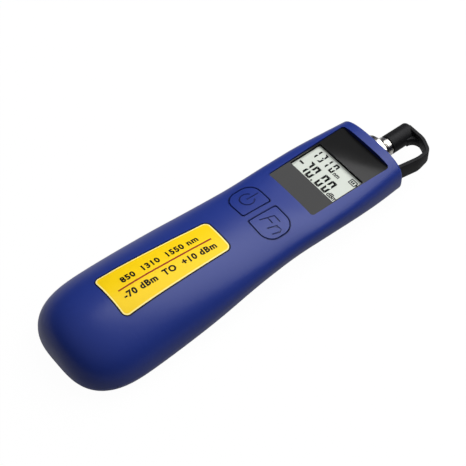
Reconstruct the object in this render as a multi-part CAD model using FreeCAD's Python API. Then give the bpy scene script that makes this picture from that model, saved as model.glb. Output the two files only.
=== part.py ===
import FreeCAD, Part
import math
import os
from FreeCAD import Vector

# Handheld optical power meter, lying on its back.
# +Y runs from the tail to the fibre port, +Z is up out of the display, and lengths are in millimetres.
# While it is built, Y counts from the tail; at the end every node is moved to the middle of the length.

# ---- housing form
body_length = 177.0
head_crest = 20.8            # height of the housing at the port end
nose_length = 33.5           # stretch over which the tail closes
nose_power = 3.1
head_arc_radius = 450.0      # plan curve of the port end
head_edge_radius = 0.9
wall = 2.2
base_trim = 0.4              # how much of the keel is cut off flat to stand on
adapter_height = 9.6         # axis of the fibre port

# ---- where the parts of the face sit along the length
window_head_margin = 5.2     # port end to the window
window_length = 44.8
window_half_near = 15.1      # half width at the key end
window_half_far = 15.7       # half width at the port end
window_corner = 1.4
window_depth = 2.2           # window face below the port end's crest
window_thickness = 1.5
window_play = 0.15
gasket_thickness = 0.15
window_floor = 1.7           # housing under the window
window_frame = 1.6           # how far that floor reaches past the window

lcd_half_width = 14.65       # area of the display that shows
lcd_length = 18.0
lcd_head_gap = 14.6          # window's port end to the shown area
lcd_side_border = 0.15
lcd_end_border = 1.4
lcd_thickness = 2.0
lcd_play = 0.15
holder_play = 0.2
zebra_width = 1.0

key_row_gap = 9.8            # window to the keys
key_length = 15.6
key_inner = 1.75             # groove's middle line to the middle plane
key_outer = 15.5
key_outer_corner = 6.2
key_inner_corner = 1.0
key_groove = 0.5
key_lip = 0.9                # how far the keeping lip reaches under the housing
key_lip_play = 0.15
key_lip_thickness = 0.8
key_travel = 0.4
legend_depth = 0.3           # signs engraved in the keys
legend_stroke = 0.65
legend_radius = 3.4
legend_gap = 1.7
legend_line = 6.2
function_strokes = (
    ((-4.5, -3.2), (-2.7, 3.6), (1.0, 3.6)),
    ((-3.6, 0.4), (-0.2, 0.4)),
    ((0.9, -3.2), (2.1, 1.3)),
    ((1.8, 0.2), (3.2, 1.3), (4.6, 1.3), (5.2, 0.3), (4.3, -3.2)),
)

label_row_gap = 14.6         # keys to the label
label_length = 58.0
label_half_near = 11.6       # half width at the tail end
label_half_far = 8.8
label_corner = 2.6
label_thickness = 0.25
label_recess = 0.3
label_play = 0.12

# ---- cells, their bay and its cover
cell_radius = 7.15
cell_length = 49.2
cell_edge = 0.6
cell_nub_radius = 2.7
cell_nub = 1.3
cell_gap = 0.5
cell_lift = 0.8              # cell above the cover
cell_play = 0.35
bay_start = 9.4
bay_wall = 1.2
bay_foot_gap = 0.25          # bay walls above the cover
spring_room = 3.4            # length of a coil spring with the cell in
spring_wire = 0.35
spring_turns = 4
spring_steps = 12            # flats in one turn of the coil
plate_thickness = 0.4
plate_width = 9.0
shelf_height = 4.4
shelf_thickness = 1.2
cover_half = 17.6
cover_tail = 13.0            # the cover takes in the whole tail up to here
cover_gap = 0.2
cover_end_margin = 1.6       # cover beyond the bay
cover_tongue = 0.8           # reach of its side tongues over the rear shell
cover_tongue_height = 3.3    # underside of the tongues
cover_tongue_thickness = 0.8
cover_tongue_start = 30.0
cover_rib = 1.0
cover_travel = 60.0
grip_count = 4
grip_pitch = 2.6
grip_width = 1.1
grip_depth = 0.5
grip_length = 15.0
grip_start = 20.0

# ---- electronics
board_thickness = 1.6
board_half_width = 15.4
board_tail_gap = 4.0         # bay to the board
board_head_gap = 17.0        # port end to the board
board_play = 0.3
switch_width = 6.0
switch_height = 2.4
plunger_radius = 1.7
plunger_height = 0.9
plunger_depth = 0.7
plunger_play = 0.12
stem_radius = 2.2
chip_width = 9.0
chip_height = 1.2
chip_count = 3
chip_pitch = 12.0

# ---- screws
screw_radius = 1.2
screw_head_radius = 2.1
screw_head_height = 1.5
screw_length = 12.0
screw_seat = 3.3             # height of the seat under a housing screw's head
screw_play = 0.03
boss_radius = 2.5
boss_split = 7.5             # where the bosses of the two shells meet
tail_screw = (21.4, 20.0)    # from the middle plane, from the tail
head_screw = (12.6, 11.0)    # from the middle plane, from the port end
board_screw_radius = 0.9
board_screw_head_radius = 1.7
board_screw_head_height = 1.0
board_screw_length = 4.4
board_boss_radius = 2.0
board_screw_side = 12.6
board_screw_back = 6.0       # the row near the cells, from the board's end

# ---- fibre port
port_seat = 0.6              # depth of the flat that the flange sits on
port_seat_play = 0.3
flange_radius = 8.6
flange_thickness = 4.4
flange_dome = 0.8
cone_length = 2.6
cone_radius = 5.0
neck_radius = 4.0
neck_play = 0.1
neck_inside = 3.2            # neck behind the wall
nut_radius = 5.4
nut_thickness = 1.6
barrel_radius = 4.0          # M8 x 0.75 thread of an FC adapter
barrel_length = 9.8
barrel_bore = 2.95
collar_radius = 4.7
collar_length = 1.9
spigot_radius = 3.4
spigot_length = 3.0
keyway_width = 2.2
keyway_length = 3.2
ferrule_radius = 1.25
ferrule_play = 0.01
sleeve_wall = 0.5
sleeve_behind = 1.2          # sleeve's mouth behind the barrel's mouth
sleeve_flange = 2.0
detector_radius = 2.35
detector_length = 3.4
detector_rim = 0.35
lead_radius = 0.23
lead_circle = 1.27
detector_board_radius = 5.2
detector_board_thickness = 1.2

# ---- dust cap and its strap
cap_gap = 1.0                # thread that shows between collar and cap
cap_radius = 4.75
cap_play = 0.04
cap_length = 13.7
cap_end_gap = 0.8            # inside of the cap beyond the barrel
cap_edge = 1.3
cap_travel = 20.0
strap_low = 5.5              # lower edge of the strap at the housing
strap_high = 14.1
strap_low_at_cap = 7.2
strap_rise = (188.0, 195.0)  # stretch over which the lower edge rises
strap_thickness = 1.9
strap_shoulder = (9.3, 0.0)  # corners of the loop: from the middle plane, behind the cap's end
strap_crown = (15.6, 2.8)
strap_belly = (16.1, 8.5)
strap_bends = (9.0, 3.0, 14.0, 9.0)
strap_entry = 14.1           # where it enters the housing
strap_inside = 5.0
strap_slot_play = 0.25
strap_web = 4.0              # hollow corner between cap and strap
anchor_reach = 0.9           # the strap's foot is wider than the slot by this much a side
anchor_length = 1.6

# ---- blocks that only cut or pick out a part run this far
beyond = 300.0
parting_reach = 60.0         # half width of the block above the parting line
everywhere = (-beyond, beyond)

# ---- places worked out from the sizes above
window_end = body_length - window_head_margin
window_start = window_end - window_length
window_top = head_crest - window_depth
window_bottom = window_top - window_thickness
window_seat = window_bottom - gasket_thickness
lcd_end = window_end - lcd_head_gap
lcd_start = lcd_end - lcd_length
key_end = window_start - key_row_gap
key_start = key_end - key_length
label_end = key_start - label_row_gap
label_start = label_end - label_length
cell_height = wall + cell_lift + cell_radius
cell_side = cell_radius + cell_gap / 2
bay_inside = cell_length + cell_nub + spring_room + 2 * plate_thickness
bay_front = bay_start + bay_wall
bay_back = bay_front + bay_inside
bay_end = bay_back + bay_wall
bay_half = cell_side + cell_radius + cell_play
cover_end = bay_back + cover_end_margin
board_top = window_seat - lcd_thickness - 0.75
board_start = bay_end + board_tail_gap
board_end = body_length - board_head_gap
port_face = body_length - port_seat
collar_start = port_face + flange_thickness + cone_length
barrel_start = collar_start + collar_length
barrel_end = barrel_start + barrel_length
cap_start = barrel_start + cap_gap
cap_end = cap_start + cap_length
overall_length = cap_end
key_middle = ((key_inner + key_outer) / 2, (key_start + key_end) / 2)

# share of the length, half width, crest, parting height, crown power, keel power
stations = (
    (0.00, 27.6, 25.6, 6.4, 1.9, 3.5),
    (0.10, 28.0, 27.2, 6.9, 1.9, 3.5),
    (0.23, 27.5, 27.8, 8.3, 1.9, 3.5),
    (0.37, 26.2, 25.8, 10.4, 1.9, 3.3),
    (0.51, 24.1, 22.9, 12.2, 2.0, 2.7),
    (0.63, 22.9, 21.3, 12.4, 2.3, 2.3),
    (0.72, 22.8, 19.8, 11.7, 3.2, 2.2),
    (0.83, 22.7, 20.2, 10.7, 3.3, 2.2),
    (0.91, 21.9, 20.6, adapter_height + 0.2, 3.2, 2.4),
    (1.00, 20.4, head_crest, adapter_height, 3.2, 2.7),
)

ring_points = 36             # points round a cross-section of the outside
nose_rows = 10
body_rows = 16
core_points = 20             # flats round a cross-section of the inside
core_rows = (0.02, 0.03, 0.045, 0.07, 0.11, 0.16, 0.25, 0.38, 0.50, 0.60, 0.68, 0.80, 0.90,
             1.02)
run_past = 6.0               # the plain form runs this far past the port end and is cut back


def blend(values, share):
    """smooth curve through the values of the stations (Hermite spans)"""
    places = [row[0] for row in stations]
    share = max(places[0], share)
    last = len(places) - 2
    i = min(last, max(0, sum(1 for p in places[1:-1] if p <= share)))

    def slope(k):
        lo, hi = max(0, k - 1), min(len(places) - 1, k + 1)
        return (values[hi] - values[lo]) / (places[hi] - places[lo])

    span = places[i + 1] - places[i]
    t = (share - places[i]) / span
    if t > 1:
        return values[i + 1] + slope(i + 1) * (share - places[i + 1])
    return (values[i] * (2 * t**3 - 3 * t**2 + 1) + values[i + 1] * (3 * t**2 - 2 * t**3)
            + slope(i) * span * (t**3 - 2 * t**2 + t) + slope(i + 1) * span * (t**3 - t**2))


def section(along):
    """half width, crest, parting height, crown power and keel power at a place on the length"""
    return [blend([row[k] for row in stations], along / body_length) for k in range(1, 6)]


def power_arc(angle, power):
    """point of a unit superellipse on the ray at this angle"""
    c, s = math.cos(angle), math.sin(angle)
    reach = (abs(c)**power + abs(s)**power)**(-1.0 / power)
    return reach * c, reach * s


def ring(along, closing, inset, count):
    """points round one cross-section, from the keel up the +X side and back"""
    half, crest, parting, crown, keel = section(along)
    floor = inset if inset > 0 else -base_trim
    points = []
    for k in range(count):
        angle = -math.pi / 2 + 2 * math.pi * k / count
        x, z = power_arc(angle, crown if math.sin(angle) >= 0 else keel)
        depth = crest - inset - parting if z >= 0 else parting - floor
        points.append(Vector((half - inset) * closing * x, along, parting + depth * closing * z))
    return points


def nose_closing(along, inset):
    """how much of the full section is there at a place in the closing tail"""
    forward = max(0.0, 1 - (along - inset) / (nose_length - inset))
    return (1 - forward**nose_power)**(1 / nose_power)


def port_end(inset):
    """upright cylinder whose +Y side is the plan curve of the port end"""
    axis_foot = Vector(0, body_length - head_arc_radius, -beyond)
    return Part.makeCylinder(head_arc_radius - inset, 2 * beyond, axis_foot)


def outside():
    """the smooth outer form of the whole housing as one solid"""
    rows = []
    for k in range(nose_rows + 1):
        forward, closing = power_arc(math.pi / 2 * k / nose_rows, nose_power)
        rows.append(((1 - forward) * nose_length, closing))
    rows[0] = (0.0, 0.0)
    rest = body_length + run_past - nose_length
    rows += [(nose_length + rest * (k + 1) / body_rows, 1.0) for k in range(body_rows)]
    reach = [(along, section(along)[0] * closing) for along, closing in rows]
    along_steps = [0.0]
    for a, b in zip(reach, reach[1:]):
        along_steps.append(along_steps[-1] + math.hypot(b[0] - a[0], b[1] - a[1]))
    round_steps = [float(k) for k in range(ring_points + 1)]
    ring_poles = []
    for along, closing in rows[1:]:
        curve = Part.BSplineCurve()
        curve.interpolate(Points=ring(along, closing, 0.0, ring_points), PeriodicFlag=True,
                          Parameters=round_steps)
        ring_poles.append(curve.getPoles())
    round_knots, round_mults = curve.getKnots(), curve.getMultiplicities()
    tail = Vector(0, 0, section(0)[2])
    ring_poles.insert(0, [tail] * len(ring_poles[0]))
    grid = []
    for column in zip(*ring_poles):
        curve = Part.BSplineCurve()
        curve.interpolate(Points=list(column), Parameters=along_steps)
        grid.append(curve.getPoles())
    surface = Part.BSplineSurface()
    surface.buildFromPolesMultsKnots(grid, round_mults, curve.getMultiplicities(), round_knots,
                                     curve.getKnots(), True, False, 3, 3)
    side = surface.toShape()
    mouth = [e for e in side.Edges if e.BoundBox.YMin > body_length]
    shell = Part.makeShell([side.Faces[0], Part.Face(Part.Wire(mouth))])
    shell.sewShape()
    form = Part.Solid(shell).common(port_end(0))
    rim = [e for e in form.Edges if e.BoundBox.YMin > body_length - 5 and e.Length > 1]
    return form.makeFillet(head_edge_radius, rim)


def core(inset):
    """the inside of the housing at a depth below its surface, in drafted flats"""
    wires = []
    for share in core_rows:
        along = share * body_length
        points = ring(along, nose_closing(along, inset), inset, core_points)
        wires.append(Part.makePolygon(points + points[:1]))
    return Part.makeLoft(wires, True, True).common(port_end(inset))


def box(x, y, z):
    """block between two X, two Y and two Z values"""
    return Part.makeBox(x[1] - x[0], y[1] - y[0], z[1] - z[0], Vector(x[0], y[0], z[0]))


def rod(radius, start, end, x=0.0, height=adapter_height):
    """cylinder along the length"""
    return Part.makeCylinder(radius, end - start, Vector(x, start, height), Vector(0, 1, 0))


def post(radius, x, along, low, high):
    """upright cylinder"""
    return Part.makeCylinder(radius, high - low, Vector(x, along, low))


def fused(shapes):
    whole = shapes[0]
    for shape in shapes[1:]:
        whole = whole.fuse(shape)
    return whole


def both_sides(shape):
    return [shape, shape.mirror(Vector(0, 0, 0), Vector(1, 0, 0))]


def rounded(points, radii, closed=True):
    """flat wire through the points with a tangent arc of the given radius at each corner"""
    count = len(points)
    edges, previous, first = [], None, None
    for k, (corner, radius) in enumerate(zip(points, radii)):
        before, after = points[k - 1], points[(k + 1) % count]
        if not closed and k in (0, count - 1):
            ends = (corner, corner)
            middle = None
        else:
            back = (before - corner).normalize()
            on = (after - corner).normalize()
            half = back.getAngle(on) / 2
            reach = radius / math.tan(half)
            ends = (corner + back * reach, corner + on * reach)
            inward = (back + on).normalize()
            middle = corner + inward * (radius / math.sin(half) - radius)
        if previous is not None and previous.distanceToPoint(ends[0]) > 1e-6:
            edges.append(Part.makeLine(previous, ends[0]))
        if middle is not None:
            edges.append(Part.Arc(ends[0], middle, ends[1]).toShape())
        if first is None:
            first = ends[0]
        previous = ends[1]
    if closed:
        edges.append(Part.makeLine(previous, first))
    return Part.Wire(edges)


def prism(points, radii, low, high):
    """upright block on a plan outline with rounded corners"""
    flat = [Vector(x, y, low) for x, y in points]
    return Part.Face(rounded(flat, radii)).extrude(Vector(0, 0, high - low))


def tapered_block(near, far, half_near, half_far, corner, low, high):
    """block between two places along the length, with a half width at each end"""
    points = [(-half_near, near), (half_near, near), (half_far, far), (-half_far, far)]
    return prism(points, [corner] * 4, low, high)


def key_block(grow, low, high):
    """block on the outline of the +X key, grown or shrunk from the groove's middle line"""
    x0, x1 = key_inner - grow, key_outer + grow
    y0, y1 = key_start - grow, key_end + grow
    radii = [key_inner_corner, key_outer_corner + grow, key_outer_corner + grow, key_inner_corner]
    return prism([(x0, y0), (x1, y0), (x1, y1), (x0, y1)], radii, low, high)


def above_parting():
    """everything above the line where the two shells meet"""
    count = 12
    line = []
    for k in range(count + 1):
        along = -10 + (body_length + 20) * k / count
        line.append(Vector(-parting_reach, along, section(max(0, along))[2]))
    curve = Part.BSplineCurve()
    curve.interpolate(line)
    top = [line[-1] + Vector(0, 0, parting_reach), line[0] + Vector(0, 0, parting_reach)]
    edges = [curve.toShape(), Part.makeLine(line[-1], top[0]), Part.makeLine(top[0], top[1]),
             Part.makeLine(top[1], line[0])]
    return Part.Face(Part.Wire(edges)).extrude(Vector(2 * parting_reach, 0, 0))


def screw_places():
    """middle of each housing screw"""
    places = []
    for side in (-1, 1):
        places.append((side * tail_screw[0], tail_screw[1]))
        places.append((side * head_screw[0], body_length - head_screw[1]))
    return places


def board_screw_places():
    """middle of each board screw"""
    return [(side * board_screw_side, along) for side in (-1, 1)
            for along in (board_start + board_screw_back, (key_end + window_start) / 2)]


def cover_region(grow):
    """where the battery cover is: the tail and a strip up to its end"""
    strip = box((-cover_half - grow, cover_half + grow), (-beyond, cover_end + grow), everywhere)
    tail = box(everywhere, (-beyond, cover_tail + grow), everywhere)
    return fused([strip, tail])


def bay(play, low):
    """two cells side by side with a flat floor, grown by the play"""
    hollow = [rod(cell_radius + play, bay_front, bay_back, side * cell_side, cell_height)
              for side in (-1, 1)]
    half = cell_side + cell_radius + play
    hollow.append(box((-half, half), (bay_front, bay_back), (low, cell_height)))
    return fused(hollow)


def strap_slot(grow):
    """passage for the strap through the port end"""
    return box((strap_entry - grow, strap_entry + strap_thickness + grow),
               (body_length - 3 * wall, body_length + 5), (strap_low - grow, strap_high + grow))


# ---- the two shells and what is let into them
whole_outside = outside()
standing = whole_outside.common(box(everywhere, everywhere, (0, beyond)))
hollow = core(wall)
upper = above_parting()


def front_shell():
    shell = standing.common(upper).cut(hollow)
    inside = core(wall - 0.4)
    frame = tapered_block(window_start - window_frame, window_end + window_frame,
                          window_half_near + window_frame, window_half_far + window_frame,
                          window_corner + window_frame, window_seat - window_floor, beyond)
    extras = [frame.common(inside)]
    for x, along in screw_places():
        extras.append(post(boss_radius, x, along, boss_split, beyond).common(inside))
    for x, along in board_screw_places():
        extras.append(post(board_boss_radius, x, along, board_top, beyond).common(inside))
    shell = fused([shell] + extras)
    shell = shell.cut(tapered_block(window_start - window_play, window_end + window_play,
                                    window_half_near + window_play, window_half_far + window_play,
                                    window_corner + window_play, window_seat, beyond))
    half = lcd_half_width + lcd_side_border + lcd_play
    shell = shell.cut(box((-half, half), (lcd_start - lcd_end_border - lcd_play,
                                          lcd_end + lcd_end_border + lcd_play), (board_top, beyond)))
    for opening in both_sides(key_block(key_groove / 2, board_top, beyond)):
        shell = shell.cut(opening)
    recess = tapered_block(label_start - label_play, label_end + label_play,
                           label_half_near + label_play, label_half_far + label_play,
                           label_corner + label_play, board_top, beyond)
    shell = shell.cut(recess.cut(whole_outside.translated(Vector(0, 0, -label_recess))))
    for x, along in screw_places():
        shell = shell.cut(post(screw_radius + screw_play, x, along, 0, screw_seat + screw_length + 0.4))
    for x, along in board_screw_places():
        tip = board_top - board_thickness + board_screw_length + 0.3
        shell = shell.cut(post(board_screw_radius + screw_play, x, along, 0, tip))
    return shell.cut(port_opening())


def port_opening():
    """flat seat and hole for the fibre port, and the slot beside it for the strap"""
    seat = rod(flange_radius + port_seat_play, port_face, body_length + 5)
    hole = rod(neck_radius + neck_play, body_length - 4 * wall, body_length)
    return fused([seat, hole, strap_slot(strap_slot_play)])


def rear_shell():
    shell = standing.cut(upper).cut(hollow)
    shell = shell.cut(cover_region(cover_gap))
    inside = core(wall - 0.4)
    extras = []
    for x, along in screw_places():
        extras.append(post(boss_radius, x, along, 0, boss_split).common(standing))
    cradle = fused([bay(cell_play + bay_wall, wall + bay_foot_gap)]).common(
        box(everywhere, (bay_front, bay_back), (wall + bay_foot_gap, beyond)))
    ends = [box(everywhere, span, everywhere).common(bay_end_form())
            for span in ((bay_start, bay_front), (bay_back, bay_end))]
    shelf = box(everywhere, (cover_tail + 2 * cover_gap, bay_end), (shelf_height,
                shelf_height + shelf_thickness)).common(inside)
    foot = box((-bay_half - bay_wall, bay_half + bay_wall), (bay_back, bay_end + cover_end_margin),
               (wall / 2 + bay_foot_gap, shelf_height + shelf_thickness))
    under_foot = box(everywhere, everywhere, (-beyond, wall + bay_foot_gap))
    foot = foot.cut(cover_region(cover_gap).common(under_foot))
    extras += [cradle] + ends + [shelf, foot]
    shell = fused([shell] + extras)
    shell = shell.cut(bay(cell_play, -beyond))
    track = box((cover_half, cover_half + cover_tongue + 2 * cover_gap), (cover_tail, cover_end),
                (cover_tongue_height - cover_gap, shelf_height))
    for side in both_sides(track):
        shell = shell.cut(side)
    for x, along in screw_places():
        shell = shell.cut(post(screw_radius + 0.2, x, along, -1, boss_split + 1))
        shell = shell.cut(post(screw_head_radius + 0.2, x, along, -1, screw_seat))
    return shell.cut(port_opening())


def bay_end_form():
    """outline of the bay carried on over its end walls"""
    play = cell_play + bay_wall
    low = wall + bay_foot_gap
    rods = [rod(cell_radius + play, bay_start, bay_end, side * cell_side, cell_height) for side in (-1, 1)]
    half = cell_side + cell_radius + play
    return fused(rods + [box((-half, half), (bay_start, bay_end), (low, cell_height))]).common(
        box(everywhere, everywhere, (low, beyond)))


def battery_cover():
    cover = standing.cut(upper).cut(hollow).common(cover_region(0))
    half = bay_half + bay_wall + cover_gap
    cover = cover.cut(box((-half, half), (bay_start - cover_gap, cover_end + 1), (wall, beyond)))
    rib_top = cover_tongue_height + cover_tongue_thickness
    tongue_end = cover_end - cover_end_margin
    rib = box((cover_half - cover_rib, cover_half), (cover_tongue_start, tongue_end), (wall / 2, rib_top))
    tongue = box((cover_half - cover_rib, cover_half + cover_gap + cover_tongue),
                 (cover_tongue_start, tongue_end), (cover_tongue_height, rib_top))
    cover = fused([cover] + both_sides(rib) + both_sides(tongue))
    for k in range(grip_count):
        start = grip_start + k * grip_pitch
        cover = cover.cut(box((-grip_length / 2, grip_length / 2), (start, start + grip_width),
                              (-1, grip_depth)))
    return cover


# ---- display
def display_window():
    return tapered_block(window_start, window_end, window_half_near, window_half_far, window_corner,
                         window_bottom, window_top)


def window_gasket():
    half = lcd_half_width + lcd_side_border + lcd_play
    frame = tapered_block(window_start, window_end, window_half_near, window_half_far, window_corner,
                          window_seat, window_bottom)
    return frame.cut(box((-half, half), (lcd_start - lcd_end_border - lcd_play,
                                         lcd_end + lcd_end_border + lcd_play), (0, beyond)))


def lcd_panel():
    half = lcd_half_width + lcd_side_border
    return box((-half, half), (lcd_start - lcd_end_border, lcd_end + lcd_end_border),
               (window_seat - lcd_thickness, window_seat))


def lcd_backlight():
    half = lcd_half_width
    return box((-half, half), (lcd_start, lcd_end), (board_top, window_seat - lcd_thickness))


def contact_strip():
    half = lcd_half_width - 1
    start = lcd_start - lcd_end_border + holder_play
    return box((-half, half), (start, start + zebra_width), (board_top, window_seat - lcd_thickness))


# ---- keys
def key(sign):
    """one key with its keeping lip and stem; sign picks the side"""
    depth = wall + key_lip_play
    cap = key_block(-key_groove / 2, 0, beyond).common(standing).cut(core(depth + key_lip_thickness))
    lip = key_block(key_groove / 2 + key_lip, 0, beyond).common(core(depth))
    lip = lip.cut(core(depth + key_lip_thickness))
    low = board_top + switch_height + plunger_height
    shaft = post(stem_radius, key_middle[0], key_middle[1], low, low + key_lip_thickness + 1)
    shape = fused([cap, lip, shaft])
    shape = shape.common(box(everywhere, everywhere, (low, beyond)))
    if sign < 0:
        shape = shape.mirror(Vector(0, 0, 0), Vector(1, 0, 0))
    engraving = fused(power_sign() if sign < 0 else function_sign())
    return shape.cut(engraving.cut(whole_outside.translated(Vector(0, 0, -legend_depth))))


def stroke(points):
    """engraved line through the points, given from the middle of a key"""
    pieces = []
    for (xa, ya), (xb, yb) in zip(points, points[1:]):
        length = math.hypot(xb - xa, yb - ya)
        across = Vector(ya - yb, xb - xa, 0) * (legend_stroke / 2 / length)
        a, b = Vector(xa, ya, board_top), Vector(xb, yb, board_top)
        flat = Part.makePolygon([a + across, a - across, b - across, b + across, a + across])
        pieces.append(Part.Face(flat).extrude(Vector(0, 0, beyond)))
    pieces += [post(legend_stroke / 2, x, y, board_top, beyond) for x, y in points]
    return pieces


def power_sign():
    """open ring with an upright line, on the -X key"""
    x, y = -key_middle[0], key_middle[1]
    ring_cut = post(legend_radius + legend_stroke / 2, x, y, board_top, beyond).cut(
        post(legend_radius - legend_stroke / 2, x, y, 0, beyond + 1))
    ring_cut = ring_cut.cut(box((x - legend_gap, x + legend_gap), (y, y + 10), (0, beyond + 1)))
    return [ring_cut] + stroke([(x, y), (x, y + legend_line)])


def function_sign():
    """slanting F and n on the +X key"""
    x, y = key_middle
    pieces = []
    for line in function_strokes:
        pieces += stroke([(x + dx, y + dy) for dx, dy in line])
    return pieces


def plunger(sign):
    low = board_top + switch_height
    return post(plunger_radius, sign * key_middle[0], key_middle[1], low - plunger_depth,
                low + plunger_height)


def key_switches():
    bodies = []
    for side in (-1, 1):
        x, y = side * key_middle[0], key_middle[1]
        half = switch_width / 2
        body = box((x - half, x + half), (y - half, y + half), (board_top, board_top + switch_height))
        well = post(plunger_radius + plunger_play, x, y,
                    board_top + switch_height - plunger_depth - key_travel - plunger_play, beyond)
        bodies.append(body.cut(well))
    return Part.makeCompound(bodies)


# ---- electronics
def main_board():
    board = box((-board_half_width, board_half_width), (board_start, board_end),
                (board_top - board_thickness, board_top))
    for x, along in board_screw_places():
        board = board.cut(post(board_screw_radius + 0.2, x, along, 0, beyond))
    return board


def board_chips():
    chips = []
    for k in range(chip_count):
        start = board_start + 10 + k * chip_pitch
        chips.append(box((-chip_width / 2, chip_width / 2), (start, start + chip_width - 2 * k),
                         (board_top - board_thickness - chip_height, board_top - board_thickness)))
    return Part.makeCompound(chips)


# ---- fasteners
def screw(x, along, seat, length, radius, head_radius, head_height):
    """pan-head screw pointing up, with a cross recess in its head"""
    shank = post(radius, x, along, seat, seat + length - radius)
    tip = Part.makeCone(radius, radius / 3, radius, Vector(x, along, seat + length - radius))
    head = post(head_radius, x, along, seat - head_height, seat)
    head = head.makeChamfer(head_height / 4, [head.Edges[0] if head.Edges[0].BoundBox.ZMax < seat - 0.1
                                              else head.Edges[2]])
    body = fused([head, shank, tip])
    slot = head_radius * 0.55
    for a, b in ((slot, radius / 5), (radius / 5, slot)):
        body = body.cut(box((x - a, x + a), (along - b, along + b),
                            (seat - head_height - 1, seat - head_height / 2)))
    return body


def housing_screws():
    return Part.makeCompound([screw(x, along, screw_seat, screw_length, screw_radius, screw_head_radius,
                                    screw_head_height) for x, along in screw_places()])


def board_screws():
    seat = board_top - board_thickness
    return Part.makeCompound([screw(x, along, seat, board_screw_length, board_screw_radius,
                                    board_screw_head_radius, board_screw_head_height)
                              for x, along in board_screw_places()])


# ---- cells and contacts
def cell(sign):
    """round cell on one side, nub to the port end on +X and to the tail on -X"""
    start = bay_front + plate_thickness + (spring_room if sign > 0 else cell_nub)
    can = rod(cell_radius, start, start + cell_length, sign * cell_side, cell_height)
    can = can.makeFillet(cell_edge, [e for e in can.Edges if e.Closed])
    nub_start = start + cell_length if sign > 0 else start - cell_nub
    nub = rod(cell_nub_radius, nub_start, nub_start + cell_nub, sign * cell_side, cell_height)
    return fused([can, nub])


def contact_plate(sign, start):
    low = cell_height - plate_width / 2
    middle = sign * cell_side
    return box((middle - plate_width / 2, middle + plate_width / 2), (start, start + plate_thickness),
               (low, low + plate_width))


def link_plate():
    bar = box((-cell_side, cell_side), (bay_front, bay_front + plate_thickness),
              (cell_height - plate_width / 2, cell_height))
    return fused([bar, contact_plate(-1, bay_front), contact_plate(1, bay_front)])


def contact_plates():
    return Part.makeCompound([contact_plate(side, bay_back - plate_thickness) for side in (-1, 1)])


def cell_spring(sign):
    """conical coil spring between a plate and the flat end of a cell"""
    length = spring_room - 2 * spring_wire
    start = bay_front + plate_thickness + spring_wire
    end = bay_back - plate_thickness - spring_wire
    wires = []
    for k in range(spring_turns * spring_steps + 1):
        turn, share = 2 * math.pi * k / spring_steps, k / (spring_turns * spring_steps)
        coil = cell_radius / 2 - cell_radius / 6 * share
        section_points = []
        for j in range(8):
            around = math.pi * j / 4
            reach = coil + spring_wire * math.cos(around)
            rise = share * length + spring_wire * math.sin(around)
            section_points.append(Vector(sign * (cell_side + reach * math.cos(turn)),
                                         start + rise if sign > 0 else end - rise,
                                         cell_height + reach * math.sin(turn)))
        wires.append(Part.makePolygon(section_points + section_points[:1]))
    return Part.makeLoft(wires, True, True)


def cell_springs():
    return Part.makeCompound([cell_spring(side) for side in (-1, 1)])


# ---- fibre port, turned about the port's axis
def turned(points):
    """solid of revolution about the port's axis from (radius, along) points"""
    corners = [Vector(radius, along, adapter_height) for radius, along in points]
    face = Part.Face(Part.makePolygon(corners + corners[:1]))
    return face.revolve(Vector(0, 0, adapter_height), Vector(0, 1, 0), 360)


def port_base():
    back = body_length - wall - port_seat - neck_inside
    spigot_end = collar_start - spigot_length
    flange_end = port_face + flange_thickness
    return turned([(detector_radius + 0.1, back), (neck_radius, back), (neck_radius, port_face),
                   (flange_radius, port_face), (flange_radius, flange_end - flange_dome),
                   (flange_radius - flange_dome, flange_end), (cone_radius, collar_start),
                   (spigot_radius + 0.02, collar_start), (spigot_radius + 0.02, spigot_end - sleeve_flange),
                   (ferrule_radius + ferrule_play + sleeve_wall + 0.02, spigot_end - sleeve_flange),
                   (ferrule_radius + ferrule_play + sleeve_wall + 0.02, back + detector_length + 0.3),
                   (detector_radius + 0.1, back + detector_length + 0.3)])


def port_nut():
    start = body_length - wall - port_seat - nut_thickness - 0.1
    ring_nut = rod(nut_radius, start, start + nut_thickness).cut(rod(neck_radius + 0.02, 0, beyond))
    for angle in (0, 90):
        notch = box((-nut_radius, nut_radius), (start - 1, start + nut_thickness / 2),
                    (adapter_height - 1, adapter_height + 1))
        notch.rotate(Vector(0, 0, adapter_height), Vector(0, 1, 0), angle)
        ring_nut = ring_nut.cut(notch)
    return ring_nut


def adapter_barrel():
    spigot_start = collar_start - spigot_length
    barrel = turned([(ferrule_radius + ferrule_play + sleeve_wall + 0.05, spigot_start),
                     (spigot_radius, spigot_start), (spigot_radius, collar_start),
                     (collar_radius, collar_start), (collar_radius, barrel_start),
                     (barrel_radius, barrel_start), (barrel_radius, barrel_end - 0.5),
                     (barrel_radius - 0.4, barrel_end), (barrel_bore, barrel_end),
                     (barrel_bore, collar_start), (ferrule_radius + ferrule_play + sleeve_wall + 0.05,
                                                   collar_start)])
    keyway = box((-keyway_width / 2, keyway_width / 2), (barrel_end - keyway_length, barrel_end + 1),
                 (adapter_height, adapter_height + barrel_radius + 1))
    return barrel.cut(keyway)


def ferrule_sleeve():
    inner = ferrule_radius + ferrule_play
    outer = inner + sleeve_wall
    spigot_start = collar_start - spigot_length
    back = body_length - wall - port_seat - neck_inside + detector_length + 0.3
    return turned([(inner, back), (outer, back), (outer, spigot_start - sleeve_flange),
                   (spigot_radius, spigot_start - sleeve_flange), (spigot_radius, spigot_start),
                   (outer, spigot_start), (outer, barrel_end - sleeve_behind),
                   (inner, barrel_end - sleeve_behind)])


def detector():
    start = body_length - wall - port_seat - neck_inside
    return rod(detector_radius, start, start + detector_length)


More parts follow.
